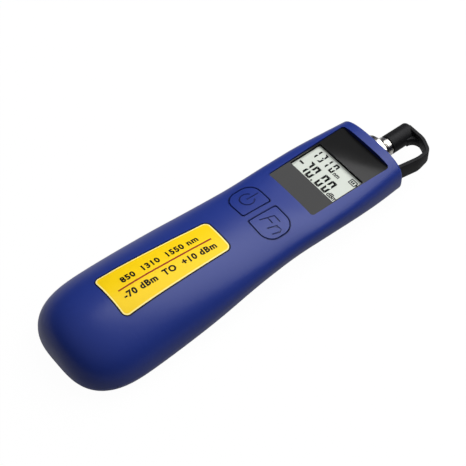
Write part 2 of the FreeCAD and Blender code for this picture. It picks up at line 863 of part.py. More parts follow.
def detector_leads():
    start = body_length - wall - port_seat - neck_inside
    low = start - detector_board_thickness - 1.5
    leads = []
    for k in range(3):
        angle = math.radians(90 + 120 * k)
        leads.append(rod(lead_radius, low, start, lead_circle * math.cos(angle),
                         adapter_height + lead_circle * math.sin(angle)))
    return Part.makeCompound(leads)


def detector_board():
    start = body_length - wall - port_seat - neck_inside
    disc = rod(detector_board_radius, start - detector_board_thickness, start)
    for k in range(3):
        angle = math.radians(90 + 120 * k)
        disc = disc.cut(rod(lead_radius + 0.05, start - 5, start + 1, lead_circle * math.cos(angle),
                            adapter_height + lead_circle * math.sin(angle)))
    return disc


# ---- dust cap and strap
def cap_outside():
    cap = rod(cap_radius, cap_start, cap_end)
    return cap.makeFillet(cap_edge, [e for e in cap.Edges if e.BoundBox.YMin > cap_end - 0.1])


def dust_cap():
    return cap_outside().cut(rod(barrel_radius + cap_play, cap_start - 1, barrel_end + cap_end_gap))


def strap_route(back):
    """corners of the strap's inner face from the cap to the foot, with the radius at each"""
    corners = [(0.0, back)]
    corners += [(x, back - behind) for x, behind in (strap_shoulder, strap_crown, strap_belly)]
    corners += [(strap_entry, body_length), (strap_entry, body_length - strap_inside)]
    return corners, [0, *strap_bends, 0]


def cap_strap():
    """band standing on edge, from the side of the cap round the loop and in through the port end"""
    back = cap_end - strap_thickness
    corners, radii = strap_route(back)
    inner = rounded([Vector(x, y, 0) for x, y in corners], radii, closed=False)
    band = inner.makeOffset2D(-strap_thickness, 0, True, True).extrude(Vector(0, 0, strap_high))
    foot_end = body_length - strap_inside
    side = [(foot_end, strap_high), (foot_end, strap_low), (strap_rise[0], strap_low),
            (strap_rise[1], strap_low_at_cap), (cap_end, strap_low_at_cap), (cap_end, strap_high)]
    profile = Part.makePolygon([Vector(0, y, z) for y, z in side + side[:1]])
    band = band.common(Part.Face(profile).extrude(Vector(beyond, 0, 0)))
    web = box((0, cap_radius + strap_web), (back - strap_web, back), (strap_low_at_cap, adapter_height + 2))
    web = web.cut(post(strap_web, cap_radius + strap_web, back - strap_web, 0, beyond))
    foot = box((strap_entry - anchor_reach, strap_entry + strap_thickness + anchor_reach),
               (foot_end, foot_end + anchor_length), (strap_low + 1, strap_high - 1))
    strap = fused([band, web, foot])
    return strap.cut(cap_outside())


# ---- label
def front_label():
    block = tapered_block(label_start, label_end, label_half_near, label_half_far, label_corner,
                          board_top, beyond)
    low = whole_outside.translated(Vector(0, 0, -label_recess))
    high = whole_outside.translated(Vector(0, 0, label_thickness - label_recess))
    return block.common(high).cut(low)


nodes = {
    "front_shell": front_shell,
    "rear_shell": rear_shell,
    "battery_cover": battery_cover,
    "front_label": front_label,
    "display_window": display_window,
    "window_gasket": window_gasket,
    "lcd_panel": lcd_panel,
    "lcd_backlight": lcd_backlight,
    "contact_strip": contact_strip,
    "power_key": lambda: key(-1),
    "function_key": lambda: key(1),
    "power_plunger": lambda: plunger(-1),
    "function_plunger": lambda: plunger(1),
    "key_switches": key_switches,
    "main_board": main_board,
    "board_chips": board_chips,
    "housing_screws": housing_screws,
    "board_screws": board_screws,
    "battery_1": lambda: cell(1),
    "battery_2": lambda: cell(-1),
    "link_plate": link_plate,
    "contact_plates": contact_plates,
    "cell_springs": cell_springs,
    "port_base": port_base,
    "port_nut": port_nut,
    "adapter_barrel": adapter_barrel,
    "ferrule_sleeve": ferrule_sleeve,
    "detector": detector,
    "detector_leads": detector_leads,
    "detector_board": detector_board,
    "dust_cap": dust_cap,
    "cap_strap": cap_strap,
}

os.makedirs("parts", exist_ok=True)
for name, make in nodes.items():
    shape = make()
    shape.translate(Vector(0, -overall_length / 2, 0))
    shape.exportStep("parts/" + name + ".step")
    print(name, len(shape.Solids), "solid(s)", round(shape.Volume, 1), "mm3", shape.isValid())
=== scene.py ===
import bpy
import bmesh
import math
from mathutils import Matrix, Vector
from mathutils.bvhtree import BVHTree
from mathutils.geometry import convex_hull_2d


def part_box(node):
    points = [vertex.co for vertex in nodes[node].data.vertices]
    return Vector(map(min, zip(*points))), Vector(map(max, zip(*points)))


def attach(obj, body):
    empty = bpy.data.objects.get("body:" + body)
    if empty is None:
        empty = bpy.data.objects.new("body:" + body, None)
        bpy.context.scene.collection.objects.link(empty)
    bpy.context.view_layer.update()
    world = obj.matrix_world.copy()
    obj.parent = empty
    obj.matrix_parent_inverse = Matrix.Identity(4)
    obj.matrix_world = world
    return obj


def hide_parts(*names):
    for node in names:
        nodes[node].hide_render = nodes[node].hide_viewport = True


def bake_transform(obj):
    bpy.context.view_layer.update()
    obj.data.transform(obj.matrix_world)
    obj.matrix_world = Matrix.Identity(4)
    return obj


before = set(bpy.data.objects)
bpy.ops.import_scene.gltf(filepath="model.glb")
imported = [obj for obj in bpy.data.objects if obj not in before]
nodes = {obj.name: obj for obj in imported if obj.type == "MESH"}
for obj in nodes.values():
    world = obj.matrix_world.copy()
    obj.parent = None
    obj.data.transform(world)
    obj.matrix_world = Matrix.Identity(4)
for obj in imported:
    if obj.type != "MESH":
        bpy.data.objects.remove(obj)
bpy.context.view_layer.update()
print("frame loaded:", len(nodes), "nodes")

mm = 0.001
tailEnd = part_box("front_shell")[0][1]     # y of the housing's tail


# y of a place given in millimetres from the tail
def along(distance):
    return tailEnd + distance * mm


# math node fed by numbers or by other nodes' outputs
def mathNode(tree, operation, first, second=None, clamp=False):
    node = tree.nodes.new("ShaderNodeMath")
    node.operation = operation
    node.use_clamp = clamp
    for socket, value in zip(node.inputs, (first, second)):
        if value is None:
            continue
        if isinstance(value, (int, float)):
            socket.default_value = value
        else:
            tree.links.new(value, socket)
    return node.outputs[0]


# angles in degrees, lens and sensor in millimetres, the rest in metres
view = {"azimuth": 51.57, "elevation": 52.67, "roll": -0.14, "lens": 115.18, "sensor": 36, "distance": 0.65,
        "near": 0.01, "target": (-0.0002, along(94.8), 0.01713)}


def makeCamera():
    turn, rise, roll = (math.radians(view[key]) for key in ("azimuth", "elevation", "roll"))
    back = Vector((math.sin(turn) * math.cos(rise), -math.cos(turn) * math.cos(rise), math.sin(rise)))
    right = Vector((math.cos(turn), math.sin(turn), 0))
    up = back.cross(right)
    across = right * math.cos(roll) + up * math.sin(roll)
    above = up * math.cos(roll) - right * math.sin(roll)
    data = bpy.data.cameras.new("camera")
    data.lens = view["lens"]
    data.sensor_width = view["sensor"]
    data.clip_start = view["near"]
    camera = bpy.data.objects.new("camera", data)
    bpy.context.collection.objects.link(camera)
    place = Vector(view["target"]) + back * view["distance"]
    camera.matrix_world = Matrix.Translation(place) @ Matrix((across, above, back)).transposed().to_4x4()
    bpy.context.scene.camera = camera


# places and sizes in metres, power in watts
lampValues = {
    "overhead": {"place": (0.252, 0.672, 1.0), "size": (1.66, 0.8), "power": 15.8, "turn": 30},
    "backKey": {"place": (-0.25, 0.95, 0.8), "size": (0.4, 0.4), "power": 4.5, "aim": (0, 0, 0)},
}


def makeLamps():
    for name, values in lampValues.items():
        data = bpy.data.lights.new(name, "AREA")
        data.shape = "RECTANGLE"
        data.size, data.size_y = values["size"]
        data.energy = values["power"]
        lamp = bpy.data.objects.new(name, data)
        lamp.location = values["place"]
        if "aim" in values:
            aim = Vector(values["aim"]) - Vector(values["place"])
            lamp.rotation_euler = aim.to_track_quat("-Z", "Y").to_euler()
        else:
            lamp.rotation_euler = (0, 0, math.radians(values["turn"]))     # lies flat, facing down
        bpy.context.collection.objects.link(lamp)


# height up the room and its tone there
roomLight = ((0.35, (0.015, 0.015, 0.02, 1)), (0.85, (0.35, 0.35, 0.37, 1)))


def makeWorld():
    world = bpy.data.worlds.new("studio")
    bpy.context.scene.world = world
    world.use_nodes = True
    tree = world.node_tree
    tree.nodes.clear()
    output = tree.nodes.new("ShaderNodeOutputWorld")
    mix = tree.nodes.new("ShaderNodeMixShader")
    room = tree.nodes.new("ShaderNodeBackground")
    plain = tree.nodes.new("ShaderNodeBackground")
    plain.inputs["Color"].default_value = (1, 1, 1, 1)
    plain.inputs["Strength"].default_value = 1.0
    path = tree.nodes.new("ShaderNodeLightPath")
    coord = tree.nodes.new("ShaderNodeTexCoord")
    split = tree.nodes.new("ShaderNodeSeparateXYZ")
    ramp = tree.nodes.new("ShaderNodeValToRGB")     # darker near the horizon, brighter overhead
    for stop, (height, tone) in zip(ramp.color_ramp.elements, roomLight):
        stop.position = height
        stop.color = tone
    tree.links.new(coord.outputs["Generated"], split.inputs[0])
    tree.links.new(split.outputs["Z"], ramp.inputs[0])
    tree.links.new(ramp.outputs["Color"], room.inputs["Color"])
    tree.links.new(path.outputs["Is Camera Ray"], mix.inputs[0])
    tree.links.new(room.outputs[0], mix.inputs[1])
    tree.links.new(plain.outputs[0], mix.inputs[2])
    tree.links.new(mix.outputs[0], output.inputs[0])


# tone under the lamps, and how much of a plain white glow the camera and the reflections see
floorValues = {"half": 4.0, "drop": 0.0001, "tone": 0.25, "glow": 1.085, "seen": 0.90, "mirrored": 0.35}


def makeFloor():
    mesh = bpy.data.meshes.new("floor")
    half = floorValues["half"]
    mesh.from_pydata([(-half, -half, 0), (half, -half, 0), (half, half, 0), (-half, half, 0)], [],
                     [(0, 1, 2, 3)])
    floor = bpy.data.objects.new("floor", mesh)
    floor.location.z = -floorValues["drop"]
    bpy.context.collection.objects.link(floor)
    finish = bpy.data.materials.new("floorWhite")
    finish.use_nodes = True
    tree = finish.node_tree
    tree.nodes.clear()
    output = tree.nodes.new("ShaderNodeOutputMaterial")
    white = tree.nodes.new("ShaderNodeBsdfDiffuse")
    white.inputs["Color"].default_value = (*[floorValues["tone"]] * 3, 1)
    glow = tree.nodes.new("ShaderNodeEmission")
    glow.inputs["Strength"].default_value = floorValues["glow"]
    path = tree.nodes.new("ShaderNodeLightPath")
    seen = mathNode(tree, "MULTIPLY", path.outputs["Is Camera Ray"], floorValues["seen"])
    mirrored = mathNode(tree, "MULTIPLY", path.outputs["Is Glossy Ray"], floorValues["mirrored"])
    mix = tree.nodes.new("ShaderNodeMixShader")
    side = tree.nodes.new("ShaderNodeNewGeometry")
    clear = tree.nodes.new("ShaderNodeBsdfTransparent")     # seen from below the floor is clear
    final = tree.nodes.new("ShaderNodeMixShader")
    tree.links.new(mathNode(tree, "ADD", seen, mirrored), mix.inputs[0])
    tree.links.new(white.outputs[0], mix.inputs[1])
    tree.links.new(glow.outputs[0], mix.inputs[2])
    tree.links.new(side.outputs["Backfacing"], final.inputs[0])
    tree.links.new(mix.outputs[0], final.inputs[1])
    tree.links.new(clear.outputs[0], final.inputs[2])
    tree.links.new(final.outputs[0], output.inputs[0])
    mesh.materials.append(finish)


bpy.context.scene.view_settings.view_transform = "Standard"
makeCamera()
makeLamps()
makeWorld()
makeFloor()
print("studio made")


# a node group that several finishes share
def newGroup(name, ins, outs):
    tree = bpy.data.node_groups.new(name, "ShaderNodeTree")
    for label, kind, value in ins:
        socket = tree.interface.new_socket(name=label, in_out="INPUT", socket_type=kind)
        socket.default_value = value
    for label, kind in outs:
        tree.interface.new_socket(name=label, in_out="OUTPUT", socket_type=kind)
    return tree, tree.nodes.new("NodeGroupInput"), tree.nodes.new("NodeGroupOutput")


noise = {"grainDetail": 3, "grainHeight": 0.00003, "patchDetail": 4}


# fine bump and slightly uneven gloss of a moulded or rolled surface
def makeSurfaceGrain():
    tree, given, result = newGroup("surfaceGrain",
                                   [("Scale", "NodeSocketFloat", 2000.0), ("Depth", "NodeSocketFloat", 0.1),
                                    ("Gloss Low", "NodeSocketFloat", 0.3),
                                    ("Gloss High", "NodeSocketFloat", 0.4),
                                    ("Patch Scale", "NodeSocketFloat", 60.0)],
                                   [("Roughness", "NodeSocketFloat"), ("Normal", "NodeSocketVector")])
    coord = tree.nodes.new("ShaderNodeTexCoord")
    grain = tree.nodes.new("ShaderNodeTexNoise")
    grain.inputs["Detail"].default_value = noise["grainDetail"]
    bump = tree.nodes.new("ShaderNodeBump")
    bump.inputs["Distance"].default_value = noise["grainHeight"]
    patch = tree.nodes.new("ShaderNodeTexNoise")
    spread = tree.nodes.new("ShaderNodeMapRange")
    tree.links.new(coord.outputs["Object"], grain.inputs["Vector"])
    tree.links.new(coord.outputs["Object"], patch.inputs["Vector"])
    tree.links.new(given.outputs["Scale"], grain.inputs["Scale"])
    tree.links.new(given.outputs["Patch Scale"], patch.inputs["Scale"])
    tree.links.new(given.outputs["Depth"], bump.inputs["Strength"])
    tree.links.new(grain.outputs["Fac"], bump.inputs["Height"])
    tree.links.new(patch.outputs["Fac"], spread.inputs["Value"])
    tree.links.new(given.outputs["Gloss Low"], spread.inputs["To Min"])
    tree.links.new(given.outputs["Gloss High"], spread.inputs["To Max"])
    tree.links.new(spread.outputs["Result"], result.inputs["Roughness"])
    tree.links.new(bump.outputs["Normal"], result.inputs["Normal"])
    return tree


# soft patches of a slightly lighter and darker tone
def makeToneShift():
    tree, given, result = newGroup("toneShift",
                                   [("Light", "NodeSocketColor", (1, 1, 1, 1)),
                                    ("Dark", "NodeSocketColor", (0, 0, 0, 1)),
                                    ("Scale", "NodeSocketFloat", 40.0)],
                                   [("Color", "NodeSocketColor")])
    coord = tree.nodes.new("ShaderNodeTexCoord")
    patch = tree.nodes.new("ShaderNodeTexNoise")
    patch.inputs["Detail"].default_value = noise["patchDetail"]
    mix = tree.nodes.new("ShaderNodeMix")
    mix.data_type = "RGBA"
    tree.links.new(coord.outputs["Object"], patch.inputs["Vector"])
    tree.links.new(given.outputs["Scale"], patch.inputs["Scale"])
    tree.links.new(patch.outputs["Fac"], mix.inputs["Factor"])
    tree.links.new(given.outputs["Dark"], mix.inputs["A"])
    tree.links.new(given.outputs["Light"], mix.inputs["B"])
    tree.links.new(mix.outputs["Result"], result.inputs["Color"])
    return tree


# 1 inside a rectangle with rounded corners in the X-Y plane, 0 outside; sizes in millimetres
def makePlateMask():
    tree, given, result = newGroup("plateMask",
                                   [(label, "NodeSocketFloat", 1.0) for label in
                                    ("Middle X", "Middle Y", "Half X", "Half Y", "Corner", "Softness")],
                                   [("Mask", "NodeSocketFloat")])
    coord = tree.nodes.new("ShaderNodeTexCoord")
    split = tree.nodes.new("ShaderNodeSeparateXYZ")
    tree.links.new(coord.outputs["Object"], split.inputs[0])
    past = []
    for axis in ("X", "Y"):
        place = mathNode(tree, "MULTIPLY", split.outputs[axis], 1 / mm)
        away = mathNode(tree, "ABSOLUTE", mathNode(tree, "SUBTRACT", place, given.outputs["Middle " + axis]))
        inner = mathNode(tree, "SUBTRACT", given.outputs["Half " + axis], given.outputs["Corner"])
        beyond = mathNode(tree, "MAXIMUM", mathNode(tree, "SUBTRACT", away, inner), 0.0)
        past.append(mathNode(tree, "MULTIPLY", beyond, beyond))
    reach = mathNode(tree, "SQRT", mathNode(tree, "ADD", past[0], past[1]))
    inside = mathNode(tree, "SUBTRACT", given.outputs["Corner"], reach)
    mask = mathNode(tree, "DIVIDE", inside, given.outputs["Softness"], clamp=True)
    tree.links.new(mask, result.inputs["Mask"])
    return tree


groups = {"surfaceGrain": makeSurfaceGrain(), "toneShift": makeToneShift(), "plateMask": makePlateMask()}


def useGroup(tree, name, values):
    node = tree.nodes.new("ShaderNodeGroup")
    node.node_tree = groups[name]
    for label, value in values.items():
        node.inputs[label].default_value = value
    return node


# a material with the given values on its shader's sockets
def startFinish(name, sockets):
    finish = bpy.data.materials.new(name)
    finish.use_nodes = True
    shader = finish.node_tree.nodes["Principled BSDF"]
    for label, value in sockets.items():
        shader.inputs[label].default_value = value
    return finish, finish.node_tree, shader


# two tones in patches, and the grain's scale and depth; gloss is the lowest and highest roughness
plainFinishes = {
    "housingBlue": {"light": (0.0165, 0.0365, 0.232), "dark": (0.0150, 0.0335, 0.214), "patch": 30,
                    "grain": 2600, "depth": 0.10, "gloss": (0.32, 0.38),
                    "sockets": {"Specular IOR Level": 0.28}},
    "strapBlack": {"light": (0.009, 0.009, 0.010), "dark": (0.006, 0.006, 0.007), "patch": 90, "grain": 1800,
                   "depth": 0.25, "gloss": (0.45, 0.6), "sockets": {"Specular IOR Level": 0.14}},
    "switchBlack": {"light": (0.02, 0.02, 0.02), "dark": (0.012, 0.012, 0.012), "patch": 200, "grain": 3000,
                    "depth": 0.1, "gloss": (0.5, 0.6), "sockets": {}},
    # painted shade: dark navy for the engraved signs and for the gaps round the keys
    "shadeBlue": {"light": (0.004, 0.010, 0.075), "dark": (0.003, 0.008, 0.060), "patch": 300, "grain": 2600,
                 "depth": 0.1, "gloss": (0.4, 0.5), "sockets": {"Specular IOR Level": 0.2}},
    "inkAndShadeBlack": {"light": (0.004, 0.004, 0.004), "dark": (0.002, 0.002, 0.002), "patch": 300, "grain": 3000,
                 "depth": 0.05, "gloss": (0.5, 0.6), "sockets": {"Specular IOR Level": 0.1}},
    "sealBlack": {"light": (0.01, 0.01, 0.01), "dark": (0.006, 0.006, 0.006), "patch": 200, "grain": 2500,
                  "depth": 0.2, "gloss": (0.6, 0.8), "sockets": {}},
    "boardGreen": {"light": (0.02, 0.12, 0.035), "dark": (0.012, 0.085, 0.025), "patch": 350, "grain": 900,
                   "depth": 0.15, "gloss": (0.3, 0.45), "sockets": {}},
    "chipBlack": {"light": (0.022, 0.022, 0.024), "dark": (0.014, 0.014, 0.015), "patch": 300, "grain": 4000,
                  "depth": 0.3, "gloss": (0.5, 0.65), "sockets": {}},
    "screwSteel": {"light": (0.50, 0.50, 0.51), "dark": (0.36, 0.36, 0.38), "patch": 500, "grain": 3000,
                   "depth": 0.2, "gloss": (0.28, 0.42), "sockets": {"Metallic": 1.0}},
    "contactSteel": {"light": (0.62, 0.60, 0.55), "dark": (0.50, 0.48, 0.43), "patch": 300, "grain": 2500,
                     "depth": 0.2, "gloss": (0.25, 0.38), "sockets": {"Metallic": 1.0}},
    "diffuserWhite": {"light": (0.78, 0.80, 0.76), "dark": (0.72, 0.74, 0.70), "patch": 100, "grain": 2000,
                      "depth": 0.1, "gloss": (0.4, 0.5), "sockets": {}},
    "sleeveCeramic": {"light": (0.83, 0.82, 0.79), "dark": (0.78, 0.77, 0.73), "patch": 300, "grain": 3500,
                      "depth": 0.05, "gloss": (0.15, 0.22), "sockets": {}},
}


def addTone(tree, values):
    return useGroup(tree, "toneShift", {"Light": (*values["light"], 1), "Dark": (*values["dark"], 1),
                                        "Scale": values["patch"]}).outputs["Color"]


# joins the colour to the shader, and gives it the surface's grain and gloss
def endFinish(tree, shader, color, values):
    low, high = values["gloss"]
    grain = useGroup(tree, "surfaceGrain", {"Scale": values["grain"], "Depth": values["depth"],
                                            "Gloss Low": low, "Gloss High": high})
    tree.links.new(color, shader.inputs["Base Color"])
    tree.links.new(grain.outputs["Roughness"], shader.inputs["Roughness"])
    tree.links.new(grain.outputs["Normal"], shader.inputs["Normal"])
    return grain


def makePlainFinish(name, values):
    finish, tree, shader = startFinish(name, values["sockets"])
    endFinish(tree, shader, addTone(tree, values), values)
    return finish


def mixColor(tree, factor, first, second):
    mix = tree.nodes.new("ShaderNodeMix")
    mix.data_type = "RGBA"
    tree.links.new(factor, mix.inputs["Factor"])
    for socket, value in ((mix.inputs["A"], first), (mix.inputs["B"], second)):
        if isinstance(value, tuple):
            socket.default_value = (*value, 1)
        else:
            tree.links.new(value, socket)
    return mix.outputs["Result"]


nickel = {"light": (0.80, 0.78, 0.74), "dark": (0.62, 0.60, 0.56), "patch": 260, "grain": 2400, "depth": 0.04,
          "gloss": (0.10, 0.2), "rings": 5200, "ringDepth": 0.25, "ringHeight": 0.00001,
          "sockets": {"Metallic": 1.0}}


# turned and plated metal, with faint tool marks round the port's axis
def makeNickel():
    finish, tree, shader = startFinish("portNickel", nickel["sockets"])
    grain = endFinish(tree, shader, addTone(tree, nickel), nickel)
    coord = tree.nodes.new("ShaderNodeTexCoord")
    rings = tree.nodes.new("ShaderNodeTexWave")
    rings.bands_direction = "Y"
    rings.inputs["Scale"].default_value = nickel["rings"]
    bump = tree.nodes.new("ShaderNodeBump")
    bump.inputs["Strength"].default_value = nickel["ringDepth"]
    bump.inputs["Distance"].default_value = nickel["ringHeight"]
    tree.links.new(coord.outputs["Object"], rings.inputs["Vector"])
    tree.links.new(rings.outputs["Fac"], bump.inputs["Height"])
    tree.links.new(grain.outputs["Normal"], bump.inputs["Normal"])
    tree.links.new(bump.outputs["Normal"], shader.inputs["Normal"])
    return finish


# area of the display that shows, in millimetres, its start and end from the tail
screen = {"halfWide": 14.65, "start": 139.2, "end": 157.2, "corner": 0.15}


def screenMask(tree, shrink, softness):
    return useGroup(tree, "plateMask", {
        "Middle X": 0.0, "Middle Y": along((screen["start"] + screen["end"]) / 2) / mm,
        "Half X": screen["halfWide"] - shrink, "Half Y": (screen["end"] - screen["start"]) / 2 - shrink,
        "Corner": screen["corner"], "Softness": softness}).outputs["Mask"]


window = {"light": (0.011, 0.011, 0.011), "dark": (0.008, 0.008, 0.008), "patch": 60,
          "clear": (0.3, 0.31, 0.3), "edge": 0.08, "grain": 700, "depth": 0.01, "gloss": (0.03, 0.06),
          "sockets": {"Specular IOR Level": 0.18}}


# acrylic, printed black behind, and clear over the display
def makeWindowFinish():
    finish, tree, shader = startFinish("windowPrint", window["sockets"])
    mask = screenMask(tree, 0.0, window["edge"])
    endFinish(tree, shader, mixColor(tree, mask, addTone(tree, window), window["clear"]), window)
    tree.links.new(mathNode(tree, "SUBTRACT", 1.0, mask), shader.inputs["Alpha"])
    return finish


# rim is a painted highlight: a paler colour along the display's edges
display = {"light": (0.32, 0.355, 0.295), "dark": (0.285, 0.32, 0.265), "patch": 45,
           "rim": (0.72, 0.76, 0.69), "highlightWide": 0.35, "rimSoft": 0.5, "grain": 3000, "depth": 0.05,
           "gloss": (0.3, 0.36), "sockets": {"IOR": 1.5}}


# grey-green display with a painted highlight: a paler rim round its edge that stands in for light entering
# the edge
def makeDisplayFinish():
    finish, tree, shader = startFinish("displayGrey", display["sockets"])
    mask = screenMask(tree, display["highlightWide"], display["rimSoft"])
    endFinish(tree, shader, mixColor(tree, mask, display["rim"], addTone(tree, display)), display)
    return finish


# sizes in millimetres, places from the tail
labelValues = {"start": 29.0, "end": 87.0, "halfStart": 11.6, "halfEnd": 8.8, "corner": 2.6, "patch": 55,
               "grain": 1500, "depth": 0.06, "gloss": (0.34, 0.42), "outline": 0.04, "outlineSoft": 0.08,
               "rim": 0.5, "rimSoft": 0.25, "light": (0.97, 0.66, 0.005), "dark": (0.92, 0.61, 0.004),
               "rimColor": (1.0, 0.83, 0.30), "edgeShade": (0.02, 0.015, 0.01), "line": (0.30, 0.008, 0.003),
               "lineStart": 33.6, "lineEnd": 82.5, "lineHalf": 0.42, "lineX": 0.25, "lineCorner": 0.1,
               "lineSoft": 0.08, "sockets": {"Specular IOR Level": 0.15}}


# printed film: yellow field, pale rim and a dark red line along the middle, and a thin black edge that is
# painted shade where the label meets its recess
def makeLabelFinish():
    values = labelValues
    finish, tree, shader = startFinish("labelPrint", values["sockets"])
    middle = along((values["start"] + values["end"]) / 2) / mm
    half = (values["end"] - values["start"]) / 2
    coord = tree.nodes.new("ShaderNodeTexCoord")
    split = tree.nodes.new("ShaderNodeSeparateXYZ")
    tree.links.new(coord.outputs["Object"], split.inputs[0])
    place = mathNode(tree, "MULTIPLY", split.outputs["Y"], 1 / mm)
    ahead = mathNode(tree, "DIVIDE", mathNode(tree, "SUBTRACT", place, middle), 2 * half)
    narrow = mathNode(tree, "MULTIPLY", ahead, values["halfEnd"] - values["halfStart"])
    width = mathNode(tree, "ADD", narrow, (values["halfStart"] + values["halfEnd"]) / 2)
    # the thin black edge outside the outline inset is painted shade where the label meets its recess
    color, field = values["edgeShade"], addTone(tree, values)
    for inset, softness, tint in ((values["outline"], values["outlineSoft"], values["rimColor"]),
                                  (values["outline"] + values["rim"], values["rimSoft"], field)):
        mask = useGroup(tree, "plateMask", {"Middle X": 0.0, "Middle Y": middle, "Half Y": half - inset,
                                            "Corner": values["corner"] - inset, "Softness": softness})
        tree.links.new(mathNode(tree, "SUBTRACT", width, inset), mask.inputs["Half X"])
        color = mixColor(tree, mask.outputs["Mask"], color, tint)
    line = useGroup(tree, "plateMask", {
        "Middle X": values["lineX"], "Middle Y": along((values["lineStart"] + values["lineEnd"]) / 2) / mm,
        "Half X": values["lineHalf"], "Half Y": (values["lineEnd"] - values["lineStart"]) / 2,
        "Corner": values["lineCorner"], "Softness": values["lineSoft"]})
    endFinish(tree, shader, mixColor(tree, line.outputs["Mask"], color, values["line"]), values)
    return finish


cellValues = {"middle": 38.0, "darkHalf": 15.0, "light": (0.05, 0.05, 0.055), "dark": (0.03, 0.03, 0.035),
              "copper": (0.55, 0.32, 0.12), "patch": 80, "grain": 2000, "depth": 0.05, "gloss": (0.22, 0.32),
              "sockets": {"Metallic": 0.6}}


# sleeve of a cell: dark in the middle, copper-toned towards both ends
def makeCellFinish():
    finish, tree, shader = startFinish("cellSleeve", cellValues["sockets"])
    coord = tree.nodes.new("ShaderNodeTexCoord")
    split = tree.nodes.new("ShaderNodeSeparateXYZ")
    tree.links.new(coord.outputs["Object"], split.inputs[0])
    place = mathNode(tree, "MULTIPLY", split.outputs["Y"], 1 / mm)
    away = mathNode(tree, "ABSOLUTE", mathNode(tree, "SUBTRACT", place, along(cellValues["middle"]) / mm))
    band = mathNode(tree, "GREATER_THAN", away, cellValues["darkHalf"])
    endFinish(tree, shader, mixColor(tree, band, addTone(tree, cellValues), cellValues["copper"]), cellValues)
    return finish


finishes = {name: makePlainFinish(name, values) for name, values in plainFinishes.items()}
finishes["portNickel"] = makeNickel()
finishes["windowPrint"] = makeWindowFinish()
finishes["displayGrey"] = makeDisplayFinish()
finishes["labelPrint"] = makeLabelFinish()
finishes["cellSleeve"] = makeCellFinish()
print("finishes made:", len(finishes))

nodeFinishes = {
    "housingBlue": ("front_shell", "rear_shell", "battery_cover", "power_key", "function_key"),
    "labelPrint": ("front_label",), "windowPrint": ("display_window",), "displayGrey": ("lcd_panel",),
    "diffuserWhite": ("lcd_backlight",), "sealBlack": ("window_gasket", "contact_strip"),
    "switchBlack": ("power_plunger", "function_plunger", "key_switches"),
    "boardGreen": ("main_board", "detector_board"), "chipBlack": ("board_chips",),
    "screwSteel": ("housing_screws", "board_screws"), "cellSleeve": ("battery_1", "battery_2"),
    "contactSteel": ("link_plate", "contact_plates", "cell_springs", "detector", "detector_leads"),
    "portNickel": ("port_base", "port_nut", "adapter_barrel"), "sleeveCeramic": ("ferrule_sleeve",),
    "strapBlack": ("dust_cap", "cap_strap"),
}
for name, members in nodeFinishes.items():
    for member in members:
        mesh = nodes[member].data
        mesh.materials.clear()
        mesh.materials.append(finishes[name])


# turns the mesh being worked on into an object of one finish
def addPiece(name, work, finish):
    mesh = bpy.data.meshes.new(name)
    work.to_mesh(mesh)
    work.free()
    piece = bpy.data.objects.new(name, mesh)
    bpy.context.collection.objects.link(piece)
    mesh.materials.clear()
    mesh.materials.append(finishes[finish])
    print(name + ":", len(mesh.polygons), "faces")
    return piece


def surfaceOf(name):
    work = bmesh.new()
    work.from_mesh(nodes[name].data)
    surface = BVHTree.FromBMesh(work)
    work.free()
    return surface


dropFrom = 0.1     # well above the whole meter


# where a line straight down from above first meets the surface
def dropOnto(surface, x, y):
    return surface.ray_cast(Vector((x, y, dropFrom)), Vector((0, 0, -1)))[0]


def faceUp(work):
    bmesh.ops.recalc_face_normals(work, faces=work.faces)
    for face in work.faces:
        if face.normal.z < 0:
            face.normal_flip()


# closed thin plate on a flat outline given in millimetres
def plateFrom(work, outline, low, high):
    area = sum(a[0] * b[1] - b[0] * a[1] for a, b in zip(outline, outline[1:] + outline[:1]))
    if area < 0:
        outline = outline[::-1]
    under = [work.verts.new((x * mm, along(y), low)) for x, y in outline]
    over = [work.verts.new((x * mm, along(y), high)) for x, y in outline]
    work.faces.new(under[::-1])
    work.faces.new(over)
    for k in range(len(outline)):
        j = (k + 1) % len(outline)
        work.faces.new((under[k], under[j], over[j], over[k]))


# in millimetres: x, then distance from the tail; heights from the floor
strap = {"route": ((0.0, 198.1), (9.3, 198.1), (15.6, 195.3), (16.1, 189.6), (14.1, 177.0), (14.1, 172.2)),
         "bends": (0, 9.0, 3.0, 14.0, 9.0, 0), "steps": 12, "thickness": 1.9, "high": 14.1, "low": 5.5,
         "lowAtCap": 7.2, "rise": (188.0, 195.0), "edge": 0.35, "edgeSteps": 3, "flat": 0.98,
         "capRadius": 4.75, "web": 4.0, "webInside": 3.0, "webTop": 11.8, "webSteps": 6}


def roundedRoute(route, bends, steps):
    corners = [Vector((x, y, 0)) for x, y in route]
    points = [corners[0]]
    for before, corner, after, bend in zip(corners, corners[1:], corners[2:], bends[1:]):
        back, on = (before - corner).normalized(), (after - corner).normalized()
        half = back.angle(on) / 2
        reach = bend / math.tan(half)
        centre = corner + (back + on).normalized() * bend / math.sin(half)
        first, last = corner + back * reach - centre, corner + on * reach - centre
        sweep = first.angle(last)
        side = 1 if first.cross(last).z > 0 else -1
        for k in range(steps + 1):
            points.append(centre + Matrix.Rotation(side * sweep * k / steps, 3, "Z") @ first)
    return points + [corners[-1]]


# hollow corner that fills in between the cap's end and the band
def webOutline():
    web, inside = strap["web"], strap["webInside"]
    centre = (strap["capRadius"] + web, strap["route"][0][1] - web)
    turns = [math.radians(90 * k / strap["webSteps"]) for k in range(strap["webSteps"] + 1)]
    arc = [(centre[0] - web * math.cos(turn), centre[1] + web * math.sin(turn)) for turn in turns]
    return [(inside, arc[0][1])] + arc + [(arc[-1][0], arc[-1][1] + 1), (inside, arc[-1][1] + 1)]


